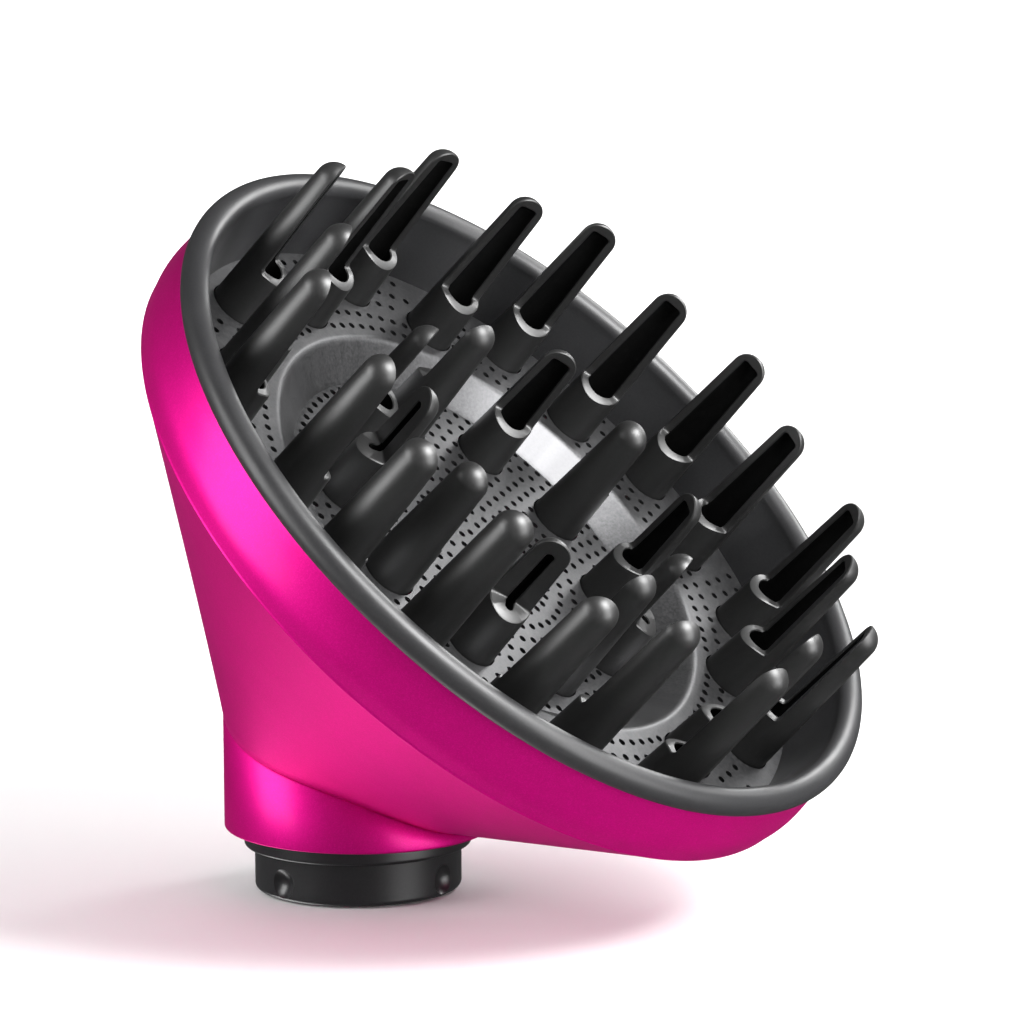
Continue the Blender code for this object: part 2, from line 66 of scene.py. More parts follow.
# Camera: where it looks from and how long its lens is
CAMERA_AZIMUTH = radians(-58.72)
CAMERA_ELEVATION = radians(7.19)
CAMERA_ROLL = radians(-0.28)
CAMERA_DISTANCE = 0.59873
CAMERA_ASIDE = 0.0271
CAMERA_HEIGHT = 0.0653
CAMERA_LENS = 122.1
SENSOR_WIDTH = 36.0
NEAREST_SEEN = 0.01

# Edges and sizes that several pieces share
SLIT = 0.0003  # the gap kept between pieces that meet
LONGEST_ROUNDING = 0.45  # of the line on each side of a rounded corner
SMALLEST_GAP = 0.000001  # points closer than this count as one
FILL_TOLERANCE = 0.0000001
ROUND_STEPS = 256
SHARP_ANGLE = 40.0  # edges that turn further than this many degrees stay sharp
SHELL_SHARP_ANGLE = 50.0
FINGER_SHARP_ANGLE = 32.0
PLATE_SHARP_ANGLE = 35.0

# Outer shell: (radius, height) in the bowl's axes, then the neck in the frame's axes
BAND = ((0.0690, -0.0025), (0.0696, -0.0060), (0.0700, -0.0107), (0.0692, -0.0143))
BAND_SOFTNESS = (0.0016, 0.0016, 0.0002, 0.0002, 0.0002)  # how far each inner corner is rounded
RIDGE_REACH = 0.0004  # the fine ridge along the band's lower edge
RIDGE_RISE = 0.00012
BAND_LINING = (
    (0.0674, -0.0135),
    (0.0675, -0.0056),
    (0.0669, -0.0048),
    (0.0674, -0.0038),
    (0.0674, -0.0025),
)
LEDGE = ((0.0622, -0.0184), (0.0622, -0.0163), (0.0652, -0.0163))
SHELL_WALL = 0.0020
NECK_RADIUS = 0.0232
NECK_CREASE_MEAN = 0.0234
NECK_CREASE_SWING = -0.0104
NECK_CREASE_THIRD = -0.0012
NECK_GROOVE = 0.0003
NECK_BOTTOM = 0.0106
NECK_EDGE = 0.0004
NECK_EDGE_STEPS = 5
LIP_RADIUS = 0.02045
LIP_MEAN = 0.0105
LIP_SWING = -0.0004
SEAT_RADIUS = 0.0201
SHELF_RADIUS = 0.0183
SHELF_BOTTOM = 0.0114
SHELF_TOP = 0.0140
SHELF_CLEARANCE = 0.0002
CREASE_LIFT = 0.0005  # how much higher the crease lies inside the neck than outside
CONE_ROWS = 24
CONE_LINING_ROWS = 6

# Rim ring
BEAD_CENTRE = (0.0680, -0.00075)
BEAD_RADIUS = 0.0023
BEAD_STEPS = 40
BEAD_FOOT = -0.0022
SKIRT_INSIDE = ((0.0656, -0.0020), (0.0646, -0.0060), (0.0637, -0.0110), (0.0634, -0.0133))
SKIRT_OUTSIDE = (
    (0.0652, -0.0133),
    (0.0658, -0.0090),
    (0.0669, -0.0067),
    (0.0669, -0.0061),
    (0.0663, -0.0054),
)
SKIRT_TOP = ((0.0663, -0.0030), (0.0670, BEAD_FOOT))

# Perforated plate
PLATE_RADIUS = 0.0650
PLATE_HEIGHT = -0.0136
PLATE_THICKNESS = 0.0010
STEP_TOP = (0.0438, PLATE_HEIGHT)
STEP_FOOT = (0.0374, -0.0184)
STEP_SOFTNESS = 0.0006
STEP_SOFTNESS_STEPS = 5
GROOVE_WIDTH = 0.0004
DISC_HEIGHT = -0.0182
STEP_ROWS = 10
PERFORATION_RADIUS = 0.00066
PERFORATION_SIDES = 10
OUTER_ROWS = (0.0464, 0.0496, 0.0537, 0.0573, 0.0613)
OUTER_ROW_COUNT = 110
OUTER_ROW_PHASE = radians(1.6)
BEHIND_FINGER = radians(3.4)  # half the angle of the bare patch behind a near finger
LAST_ROW_FROM = 0.060
LAST_ROW_SIDE = radians(6.0)  # the last row's holes lie about this far to each side of a near finger
LAST_ROW_REACH = radians(3.0)  # and at most this far from there
DISC_ROW_SPACING = 0.0030
DISC_ROWS = 12
DISC_HOLE_PITCH = 0.00264
CLEAR_OF_FINGER = 0.0056
FINGER_HOLE_SIDES = 40
PLATE_WELD = 0.000005

# Hollow fingers: heights above the plate they stand on
FINGER_PHASE = radians(3.0)
OUTER_COUNT = 20
OUTER_NEAR_RADIUS = 0.0509
OUTER_FAR_RADIUS = 0.0565
OUTER_SPLAY = radians(1.6)
OUTER_TIP = 0.0299
INNER_COUNT = 10
INNER_RADIUS = 0.0284
INNER_TIP = 0.0232
NARROW_TIP = 0.0222
FINGER_BASE_RADIUS = 0.0047
FINGER_TIP_RADIUS = 0.0033
FINGER_WALL = 0.0015
FINGER_BEVEL = 0.00018
SLOT_BOTTOM = 0.0106
NARROW_SLOT_BOTTOM = 0.0116
LIP_FALL = 70.0  # the slot's lip falls by this times the square of its distance from the cut face
LIP_FILLET = 0.0006
FILLET_TURNS = (0.0, 1.1, 2.7, 4.9, 8.2, 12.4)  # degrees from the cut face
BORE_END = 0.0014
BORE_SQUARENESS = 0.4  # 1 is a round end, less is squarer
NARROW_BORE_END = 0.0005
NARROW_BORE_SQUARENESS = 1.0
NARROW_BORE = (0.0020, 0.00075)  # half its depth and half its width
FLANGE_RADIUS = 0.0058
FLANGE_TOP = -0.0015
FLANGE_THICKNESS = 0.0010
FINGER_STEPS = 14
FINGER_ROWS = 10
DOME_STEPS = 20
FINGER_WELD = 0.000002
SQUARE_ON = 0.000001  # a cosine below this is a right angle's
FINGER_HOLE = FINGER_BASE_RADIUS + 0.0002

# Coupling collar
COLLAR_RADIUS = 0.0180
COLLAR_BORE = 0.0160
COLLAR_STEP = 0.0074
COLLAR_STEP_ROUNDING = 0.0003
COLLAR_EDGE = 0.0009
COLLAR_EDGE_STEPS = 8
BORE_EDGE = 0.0004
SHOULDER_RADIUS = 0.0198
SHOULDER_FOOT = 0.0078
SHOULDER_START = (0.0011, 0.0001)  # outward and upward from the collar's step
SHOULDER_ROUNDING = 0.0004
SPIGOT_RADIUS = 0.0179
SPIGOT_TOP = 0.0168
SEAL_GROOVE = (0.0114, 0.0136, 0.0168)  # bottom, top and inner radius
CLIP_GROOVE = (0.0143, 0.0157, 0.0169)
POCKET_RADIUS = 0.0026
POCKET_HEIGHT = 0.0030
POCKET_DEPTH = 0.0012
POCKET_ANGLES = (radians(-2.5), radians(-102.0), radians(129.0))
POCKET_BALL_SIDES = 64
POCKET_BALL_ROWS = 48

# Finishes
UNEVEN_GLOSS = 0.1  # the share by which the roughness of a moulding varies
GRAIN_DEPTH = 0.000006
PEEL_DEPTH = 0.000003
PLATE_GRAIN_DEPTH = 0.000008

# Stage: a floor that curves up into a wall
FLOOR_RINGS = (0.001, 0.3, 0.7)
FLOOR_RADIUS = 1.1
FLOOR_BEND = 0.7
WALL_TOP = 2.2
STAGE_SIDES = 96
STAGE_BEND_STEPS = 16

# Lights: places are seen from the camera, to its right, up, and back towards it, from what they face
MIDDLE = Vector((0.03, 0.0, 0.06))
FAR_SIDE = Vector((0.03, 0.05, 0.065))
WORLD_STRENGTH = 0.10
SOFTBOXES = (
    # name, what it faces, place, width, height, power
    ("left_softbox", MIDDLE, (-0.49, 0.12, 0.24), 0.32, 0.46, 3.0),
    ("right_softbox", MIDDLE, (0.50, 0.0, 0.35), 0.40, 0.50, 3.8),
    ("low_softbox", MIDDLE, (-0.34, -0.46, -0.24), 0.20, 0.34, 1.3),
    ("upper_softbox", MIDDLE, (0.42, 0.34, -0.10), 0.30, 0.30, 1.5),
    ("plate_softbox", FAR_SIDE, (0.153, 0.166, -0.165), 0.10, 0.10, 0.4),
    ("axis_softbox", MIDDLE, (0.30, 0.31, 0.25), 0.26, 0.26, 6.0),
)
BACKDROP_LIGHT = (1.4, 0.8, 22.0)
BACKDROP_LIGHT_PLACE = (0.0, 1.0, -0.9)
BACKDROP_LIGHT_AIM = (0.0, -0.9, -0.9)


# Mesh helpers


def polar(radius, angle, height):
    return Vector((radius * cos(angle), radius * sin(angle), height))


def arc(centre, radius, start, end, steps):
    """Points of an arc in the (radius, height) plane, angles in radians."""
    turns = [start + (end - start) * step / steps for step in range(steps + 1)]
    return [(centre[0] + radius * cos(turn), centre[1] + radius * sin(turn)) for turn in turns]


def softened(before, corner, after, reach, steps=6):
    """The corner of a line rounded off over a distance, as points from one side to the other."""
    back = before - corner
    onward = after - corner
    start = corner + back.normalized() * min(reach, back.length * LONGEST_ROUNDING)
    end = corner + onward.normalized() * min(reach, onward.length * LONGEST_ROUNDING)
    points = []
    for step in range(steps + 1):
        share = step / steps
        points.append(start.lerp(corner, share).lerp(corner.lerp(end, share), share))
    return points


def softened_line(points, reaches):
    """A line with each of its inner corners rounded off by its own reach."""
    made = [points[0]]
    for before, corner, after, reach in zip(points, points[1:], points[2:], reaches):
        made += softened(before, corner, after, reach)
    made.append(points[-1])
    return made


def rows_between(start, end, rows):
    """Points between two points, without either."""
    return [start.lerp(end, row / (rows + 1.0)) for row in range(1, rows + 1)]


def finished_mesh(name, built, sharp=SHARP_ANGLE):
    """A mesh from a bmesh, with its faces outward and its round sides shaded smooth."""
    bmesh.ops.recalc_face_normals(built, faces=built.faces)
    mesh = bpy.data.meshes.new(name)
    built.to_mesh(mesh)
    built.free()
    mesh.shade_smooth()
    mesh.set_sharp_from_angle(angle=radians(sharp))
    return mesh


def swept_ring(name, columns, sharp=SHARP_ANGLE):
    """A closed ring from equal columns of points: each column is one cross-section, in order."""
    built = bmesh.new()
    rings = [[built.verts.new(point) for point in column] for column in columns]
    for index, ring in enumerate(rings):
        following = rings[(index + 1) % len(rings)]
        for row in range(len(ring)):
            below = (row + 1) % len(ring)
            built.faces.new((ring[row], ring[below], following[below], following[row]))
    return finished_mesh(name, built, sharp)


def round_angles(steps=ROUND_STEPS):
    return [2.0 * pi * step / steps for step in range(steps)]


def turned_ring(name, section):
    """A closed section of (radius, height) points turned about local Z."""
    columns = [[polar(radius, angle, height) for radius, height in section] for angle in round_angles()]
    return swept_ring(name, columns)


def piece(name, mesh, finish, matrix, body):
    """A visible piece that moves with one body. Its place is in its mesh, as a CAD node's is."""
    made = bpy.data.objects.new(name, mesh)
    bpy.context.scene.collection.objects.link(made)
    mesh.transform(matrix)
    if not mesh.materials:
        mesh.materials.append(finish)
    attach(made, body)
    return made


def apply_modifiers(obj, sharp):
    """Makes the shape that an object's modifiers give its own mesh, sharp above an angle."""
    graph = bpy.context.evaluated_depsgraph_get()
    mesh = bpy.data.meshes.new_from_object(obj.evaluated_get(graph))
    obj.modifiers.clear()
    obj.data = mesh
    mesh.shade_smooth()
    mesh.set_sharp_from_angle(angle=radians(sharp))


# Materials


def new_material(name):
    made = bpy.data.materials.new(name)
    made.use_nodes = True
    return made, made.node_tree.nodes, made.node_tree.links


def noise(nodes, links, place, scale, detail, roughness=0.5):
    """A noise texture at a scale of cells per metre."""
    made = nodes.new("ShaderNodeTexNoise")
    made.inputs["Scale"].default_value = scale
    made.inputs["Detail"].default_value = detail
    made.inputs["Roughness"].default_value = roughness
    links.new(place, made.inputs["Vector"])
    return made.outputs["Fac"]


def ramp(nodes, links, factor, stops):
    """A colour ramp: each stop is (position, colour)."""
    made = nodes.new("ShaderNodeValToRGB")
    elements = made.color_ramp.elements
    while len(elements) < len(stops):
        elements.new(0.5)
    for element, (position, colour) in zip(elements, stops):
        element.position = position
        element.color = (*colour, 1.0)
    links.new(factor, made.inputs["Fac"])
    return made.outputs["Color"]


def spread(nodes, links, factor, low, high):
    """A noise value, mostly between 0.3 and 0.7, mapped onto a range."""
    made = nodes.new("ShaderNodeMapRange")
    made.inputs["From Min"].default_value = 0.3
    made.inputs["From Max"].default_value = 0.7
    made.inputs["To Min"].default_value = low
    made.inputs["To Max"].default_value = high
    links.new(factor, made.inputs["Value"])
    return made.outputs["Result"]


def bump(nodes, links, height, distance, strength):
    made = nodes.new("ShaderNodeBump")
    made.inputs["Distance"].default_value = distance
    made.inputs["Strength"].default_value = strength
    links.new(height, made.inputs["Height"])
    return made.outputs["Normal"]


def moulded(name, dark, light, roughness, grain, specular=0.5, metallic=0.0):
    """Moulded plastic or rubber: fine grain and a slightly uneven gloss that changes slowly."""
    made, nodes, links = new_material(name)
    shader = nodes["Principled BSDF"]
    place = nodes.new("ShaderNodeTexCoord").outputs["Object"]
    fine = noise(nodes, links, place, scale=grain, detail=6.0)
    slow = noise(nodes, links, place, scale=90.0, detail=2.0)
    links.new(ramp(nodes, links, fine, ((0.3, dark), (0.7, light))), shader.inputs["Base Color"])
    smoothest = roughness * (1.0 - UNEVEN_GLOSS)
    roughest = roughness * (1.0 + UNEVEN_GLOSS)
    links.new(spread(nodes, links, slow, smoothest, roughest), shader.inputs["Roughness"])
    links.new(bump(nodes, links, fine, GRAIN_DEPTH, strength=0.5), shader.inputs["Normal"])
    shader.inputs["Metallic"].default_value = metallic
    shader.inputs["Specular IOR Level"].default_value = specular
    return made


def shell_paint():
    """Magenta metallic lacquer: small flakes under a satin clear coat."""
    made, nodes, links = new_material("magenta_lacquer")
    shader = nodes["Principled BSDF"]
    place = nodes.new("ShaderNodeTexCoord").outputs["Object"]
    flakes = nodes.new("ShaderNodeTexVoronoi")
    flakes.inputs["Scale"].default_value = 6000.0
    links.new(place, flakes.inputs["Vector"])
    flake_tone = ramp(
        nodes,
        links,
        flakes.outputs["Color"],
        ((0.0, (0.56, 0.003, 0.185)), (0.6, (0.62, 0.004, 0.210)), (1.0, (0.70, 0.007, 0.26))),
    )
    links.new(flake_tone, shader.inputs["Base Color"])
    slow = noise(nodes, links, place, scale=60.0, detail=3.0)
    links.new(spread(nodes, links, slow, low=0.44, high=0.48), shader.inputs["Roughness"])
    peel = noise(nodes, links, place, scale=700.0, detail=2.0)
    links.new(bump(nodes, links, peel, PEEL_DEPTH, strength=0.4), shader.inputs["Normal"])
    shader.inputs["Metallic"].default_value = 0.75
    shader.inputs["Specular Tint"].default_value = (0.90, 0.05, 0.45, 1.0)
    shader.inputs["Coat Weight"].default_value = 0.15
    shader.inputs["Coat Roughness"].default_value = 0.24
    return made


def plate_metal():
    """Grey metallic finish: fine grain, faint streaks that run outward from the centre."""
    made, nodes, links = new_material("grey_metallic_plate")
    shader = nodes["Principled BSDF"]
    in_bowl = nodes.new("ShaderNodeMapping")
    in_bowl.vector_type = "TEXTURE"
    in_bowl.inputs["Location"].default_value = BOWL_CENTRE
    in_bowl.inputs["Rotation"].default_value = (0.0, BOWL_TILT, 0.0)
    links.new(nodes.new("ShaderNodeTexCoord").outputs["Object"], in_bowl.inputs["Vector"])
    place = in_bowl.outputs["Vector"]
    grain = noise(nodes, links, place, scale=1800.0, detail=4.0, roughness=0.6)
    parts = nodes.new("ShaderNodeSeparateXYZ")
    links.new(place, parts.inputs["Vector"])
    turn = nodes.new("ShaderNodeMath")
    turn.operation = "ARCTAN2"
    links.new(parts.outputs["Y"], turn.inputs[0])
    links.new(parts.outputs["X"], turn.inputs[1])
    streak_place = nodes.new("ShaderNodeCombineXYZ")
    links.new(turn.outputs["Value"], streak_place.inputs["X"])
    streaks = noise(nodes, links, streak_place.outputs["Vector"], scale=9.0, detail=3.0)
    both = nodes.new("ShaderNodeMix")
    both.inputs["Factor"].default_value = 0.35
    links.new(grain, both.inputs["A"])
    links.new(streaks, both.inputs["B"])
    mixed = both.outputs["Result"]
    tone = ramp(nodes, links, mixed, ((0.35, (0.055, 0.055, 0.057)), (0.65, (0.095, 0.095, 0.097))))
    links.new(tone, shader.inputs["Base Color"])
    links.new(spread(nodes, links, grain, low=0.36, high=0.46), shader.inputs["Roughness"])
    links.new(bump(nodes, links, grain, PLATE_GRAIN_DEPTH, strength=0.6), shader.inputs["Normal"])
    shader.inputs["Metallic"].default_value = 0.9
    return made


def stage_paint():
    """A matt white with a slow, faint change of tone."""
    made, nodes, links = new_material("studio_white")
    shader = nodes["Principled BSDF"]
    place = nodes.new("ShaderNodeTexCoord").outputs["Object"]
    slow = noise(nodes, links, place, scale=3.0, detail=2.0)
    tone = ramp(nodes, links, slow, ((0.3, (0.84, 0.84, 0.84)), (0.7, (0.86, 0.86, 0.86))))
    links.new(tone, shader.inputs["Base Color"])
    shader.inputs["Roughness"].default_value = 0.9
    shader.inputs["Specular IOR Level"].default_value = 0.1
    return made


# Outer shell


def neck_crease(angle):
    """Height of the line where the neck meets the cone: low under the bowl, high behind it."""
    return NECK_CREASE_MEAN + NECK_CREASE_SWING * cos(angle) + NECK_CREASE_THIRD * cos(3.0 * angle)


def shell_column(angle):
    """One cross-section of the shell, down its outside and up its inside."""

    def bowl(radius, height):
        return BOWL @ polar(radius, angle, height)

    def neck(radius, height):
        return polar(radius, angle, height)

    crease = neck(NECK_RADIUS, neck_crease(angle))
    band = [bowl(*point) for point in BAND]
    back = (band[-2] - band[-1]).normalized()
    onward = (crease - band[-1]).normalized()
    ridge = [
        band[-1] + back * RIDGE_REACH,
        band[-1] - (back + onward).normalized() * RIDGE_RISE,
        band[-1] + onward * RIDGE_REACH,
    ]
    swing = LIP_SWING * cos(angle)
    neck_edge = neck(NECK_RADIUS, NECK_BOTTOM + swing)
    lip = neck(LIP_RADIUS, LIP_MEAN + swing)
    outside = softened_line(band[:-1] + ridge + [crease], BAND_SOFTNESS)[:-1]
    outside += rows_between(outside[-1], crease, CONE_ROWS)
    outside.append(crease + (band[-1] - crease).normalized() * NECK_GROOVE)
    outside.append(neck(NECK_RADIUS - NECK_GROOVE, crease.z))
    outside.append(neck(NECK_RADIUS, crease.z - NECK_GROOVE))
    outside += softened(crease, neck_edge, lip, NECK_EDGE, NECK_EDGE_STEPS)
    outside.append(lip)
    inner_radius = NECK_RADIUS - SHELL_WALL
    inner_height = max(neck_crease(angle) + CREASE_LIFT, SHELF_TOP + SHELF_CLEARANCE)
    inner_crease = neck(inner_radius, inner_height)
    ledge = [bowl(*point) for point in LEDGE]
    inside = [
        neck(SEAT_RADIUS, lip.z),
        neck(SEAT_RADIUS, SHELF_BOTTOM),
        neck(SHELF_RADIUS, SHELF_BOTTOM),
        neck(SHELF_RADIUS, SHELF_TOP),
        neck(inner_radius, SHELF_TOP),
        inner_crease,
    ]
    inside += rows_between(inner_crease, ledge[0], CONE_LINING_ROWS)
    inside += ledge
    inside += [bowl(*point) for point in BAND_LINING]
    return outside + inside


def build_shell():
    """The neck, the oblique cone and the band of the bowl, as one moulding."""
    mesh = swept_ring("shell", [shell_column(angle) for angle in round_angles()], SHELL_SHARP_ANGLE)
    made = piece("shell", mesh, SHELL_PAINT, Matrix.Identity(4), "head")
    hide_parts("outer_shell")


def build_rim():
    """The rounded bead over the shell's edge, with the dark wall that runs down to the plate."""
    reach = asin((BEAD_FOOT - BEAD_CENTRE[1]) / BEAD_RADIUS)
    section = arc(BEAD_CENTRE, BEAD_RADIUS, reach, pi, BEAD_STEPS)
    section += list(SKIRT_INSIDE + SKIRT_OUTSIDE + SKIRT_TOP)
    made = piece("rim", turned_ring("rim", section), GREY_PLASTIC, BOWL, "head")
    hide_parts("rim_ring")


# Fingers


def finger_places():
    """(node, matrix, kind) of each finger's foot in the bowl's axes; local -X is the closed side."""
    places = []
    for index in range(OUTER_COUNT):
        angle = FINGER_PHASE + 2.0 * pi * index / OUTER_COUNT
        radius = OUTER_FAR_RADIUS if index % 2 else OUTER_NEAR_RADIUS
        turn = Matrix.Rotation(angle + pi, 4, "Z") @ Matrix.Rotation(-OUTER_SPLAY, 4, "Y")
        place = Matrix.Translation(polar(radius, angle, PLATE_HEIGHT)) @ turn
        places.append((f"outer_finger_{index + 1:02d}", place, "outer"))
    for index in range(INNER_COUNT):
        angle = FINGER_PHASE + 2.0 * pi * (index + 0.5) / INNER_COUNT
        facing = angle + pi * (index % 2)
        turn = Matrix.Rotation(facing, 4, "Z")
        place = Matrix.Translation(polar(INNER_RADIUS, angle, DISC_HEIGHT)) @ turn
        places.append((f"inner_finger_{index + 1:02d}", place, "inner" if index % 2 else "narrow"))
    return places


class Bore:
    """The outline of a finger's bore: round, or narrow with round ends."""

    def __init__(self, is_narrow):
        self.is_narrow = is_narrow
        self.end = NARROW_BORE_END if is_narrow else BORE_END
        self.squareness = NARROW_BORE_SQUARENESS if is_narrow else BORE_SQUARENESS

    def half_width(self, radius):
        return NARROW_BORE[1] if self.is_narrow else radius - FINGER_WALL

    def point(self, radius, angle):
        if not self.is_narrow:
            inner = radius - FINGER_WALL
            return inner * cos(angle), inner * sin(angle)
        half_depth, half_width = NARROW_BORE
        straight = half_depth - half_width
        across = abs(sin(angle))
        along = abs(cos(angle))
        if across * straight > along * half_width:
            reach = half_width / across
        else:
            reach = straight * along + (half_width**2 - (straight * across) ** 2) ** 0.5
        return reach * cos(angle), reach * sin(angle)

    def start_angle(self, radius):
        """Where the bore's wall begins behind the bevel of the cut face."""
        return pi / 2.0 + atan2(FINGER_BEVEL, self.half_width(radius))


def cut_section(radius, bore):
    """Half of the cut finger's section, y at or above 0, from the outside of its back to the inside."""
    outer_end = pi / 2.0 + FINGER_BEVEL / radius
    inner_end = bore.start_angle(radius)
    points = []
    for step in range(FINGER_STEPS + 1):
        angle = pi + (outer_end - pi) * step / FINGER_STEPS
        points.append((radius * cos(angle), radius * sin(angle)))
    points.append((0.0, radius - FINGER_BEVEL))
    points.append((0.0, bore.half_width(radius) + FINGER_BEVEL))
    for step in range(FINGER_STEPS + 1):
        points.append(bore.point(radius, inner_end + (pi - inner_end) * step / FINGER_STEPS))
    return points


def finger_radius(height, tip_height):
    share = max(height, 0.0) / tip_height
    return FINGER_BASE_RADIUS + (FINGER_TIP_RADIUS - FINGER_BASE_RADIUS) * share


def lip_height(forward, slot_bottom):
    """Height of the slot's lip at a distance in front of the cut face, which it meets in a fillet."""
    into_fillet = max(LIP_FILLET - forward, 0.0)
    fillet = LIP_FILLET - (LIP_FILLET**2 - into_fillet**2) ** 0.5
    return slot_bottom + fillet - LIP_FALL * forward**2


def lip_angles():
    """Angles across the front of a finger, from one end of the cut face to the other."""
    turns = [radians(turn) for turn in FILLET_TURNS]
    between_fillets = pi / 2.0 - turns[-1]
    side = [pi / 2.0 - turn for turn in turns]
    side += [between_fillets * (1.0 - step / FINGER_STEPS) for step in range(1, FINGER_STEPS)]
    return [-angle for angle in side] + [0.0] + side[::-1]


def build_finger_mesh(name, tip_height, slot_bottom, is_narrow):
    """A hollow finger: a full tube up to the slot's lip, then half a tube closed by half a dome."""
    built = bmesh.new()
    bore = Bore(is_narrow)

    # Lower tube: each column runs up the outside and down the inside
    cut_low = lip_height(0.0, slot_bottom)
    cut_radius = finger_radius(cut_low, tip_height)
    base = FLANGE_TOP - FLANGE_THICKNESS
    outer_end = pi / 2.0 + FINGER_BEVEL / cut_radius
    inner_end = bore.start_angle(cut_radius)
    columns = [(angle, angle, True) for angle in lip_angles()]
    for step in range(2 * FINGER_STEPS + 1):
        share = step / (2.0 * FINGER_STEPS)
        outer_angle = outer_end + (2.0 * pi - 2.0 * outer_end) * share
        inner_angle = inner_end + (2.0 * pi - 2.0 * inner_end) * share
        columns.append((outer_angle, inner_angle, False))
    rings = []
    for outer_angle, inner_angle, is_front in columns:
        edge = FINGER_BEVEL if is_front else 0.0
        top = cut_low
        inner_top = cut_low
        if is_front:
            top = lip_height((cut_radius - edge) * max(cos(outer_angle), 0.0), slot_bottom)
            inner_top = lip_height(max(bore.point(cut_radius, inner_angle)[0], 0.0), slot_bottom)
        outer = finger_radius(top, tip_height)
        if not is_front or abs(cos(outer_angle)) < SQUARE_ON:
            outer = cut_radius
        wall = Vector((*bore.point(outer, inner_angle), 0.0))
        foot = Vector((*bore.point(FINGER_BASE_RADIUS, inner_angle), base))
        bevelled = wall * (1.0 + edge / wall.length)
        profile = [
            foot,
            polar(FLANGE_RADIUS, outer_angle, base),
            polar(FLANGE_RADIUS, outer_angle, FLANGE_TOP),
            polar(FINGER_BASE_RADIUS, outer_angle, FLANGE_TOP),
            polar(FINGER_BASE_RADIUS, outer_angle, 0.0),
            polar(finger_radius(top - FINGER_BEVEL, tip_height), outer_angle, top - FINGER_BEVEL),
            polar(outer - edge, outer_angle, top),
            Vector((bevelled.x, bevelled.y, inner_top)),
            Vector((wall.x, wall.y, inner_top - FINGER_BEVEL)),
        ]
        rings.append(([built.verts.new(point) for point in profile], is_front))
    ledge_row = 6
    bevel_row = 7
    bore_rows = (0, 8)
    for index, (ring, is_front) in enumerate(rings):
        following, next_is_front = rings[(index + 1) % len(rings)]
        for row in range(len(ring)):
            if row == ledge_row and not (is_front and next_is_front):
                continue
            above = (row + 1) % len(ring)
            face = built.faces.new((ring[row], ring[above], following[above], following[row]))
            # Faces inside the bore, and the bevel into it at the back, take the painted shade finish
            face.material_index = int(row in bore_rows or (row == bevel_row and not is_front))

    # Half tube above the slot's lip, then half a dome: the same section turned about a level line
    outside_points = FINGER_STEPS + 2
    rows = []
    for row in range(FINGER_ROWS + 1):
        height = cut_low + (tip_height - cut_low) * row / FINGER_ROWS
        half = cut_section(finger_radius(height, tip_height), bore)
        for side in (1.0, -1.0):
            rows.append([built.verts.new((x, side * y, height)) for x, y in half])
    pairs = list(zip(rows, rows[2:]))
    half = cut_section(FINGER_TIP_RADIUS, bore)
    rise = bore.end / bore.half_width(FINGER_TIP_RADIUS)
    turned = []
    for step in range(DOME_STEPS + 1):
        lift = pi * step / DOME_STEPS
        sideways = copysign(abs(cos(lift)) ** bore.squareness, cos(lift))
        upward = abs(sin(lift)) ** bore.squareness * rise
        points = [(x, y * cos(lift), tip_height + y * sin(lift)) for x, y in half[:outside_points]]
        points += [(x, y * sideways, tip_height + y * upward) for x, y in half[outside_points:]]
        turned.append([built.verts.new(point) for point in points])
    pairs += list(zip(turned, turned[1:]))
    for near, far in pairs:
        for index in range(len(near) - 1):
            face = built.faces.new((near[index], near[index + 1], far[index + 1], far[index]))
            # Faces inside the bore take the painted shade finish
            face.material_index = int(index > outside_points)
    bmesh.ops.remove_doubles(built, verts=built.verts, dist=FINGER_WELD)
    bmesh.ops.dissolve_degenerate(built, edges=built.edges, dist=SMALLEST_GAP)
    mesh = finished_mesh(name, built, FINGER_SHARP_ANGLE)
    # The finger's own plastic, then a darker copy of it as painted shade for the bore
    mesh.materials.append(FINGER_PLASTIC)
    mesh.materials.append(BORE_PAINTED_SHADE)
    return mesh


def build_fingers():
    meshes = {
        "outer": build_finger_mesh("long_finger", OUTER_TIP, SLOT_BOTTOM, False),
        "inner": build_finger_mesh("short_finger", INNER_TIP, SLOT_BOTTOM, False),
        "narrow": build_finger_mesh("narrow_slot_finger", NARROW_TIP, NARROW_SLOT_BOTTOM, True),
    }
    for node, place, kind in finger_places():
        mesh = meshes[kind].copy()
        made = piece(f"fine_{node}", mesh, FINGER_PLASTIC, BOWL @ place, "head")
        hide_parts(node)


# Plate


def circle(centre, radius, steps):
    """A round outline, as points in a plane."""
    points = []
    for angle in round_angles(steps):
        points.append(Vector((centre.x + radius * cos(angle), centre.y + radius * sin(angle))))
    return points


def perforations(centres):
    return [circle(centre, PERFORATION_RADIUS, PERFORATION_SIDES) for centre in centres]


def perforated_face(built, height, loops):
    """Fills the outline that the first loop encloses, with a hole for every other loop."""
    points = []
    outlines = []
    for loop in loops:
        outlines.append(list(range(len(points), len(points) + len(loop))))
        points += loop
    filled = delaunay_2d_cdt(points, [], outlines, 0, FILL_TOLERANCE)
    filled_points, _, triangles, _, _, inside_of = filled
    corners = [built.verts.new((point.x, point.y, height)) for point in filled_points]
    for triangle, outlines_round_it in zip(triangles, inside_of):
        if list(outlines_round_it) == [0]:
            built.faces.new([corners[index] for index in triangle])


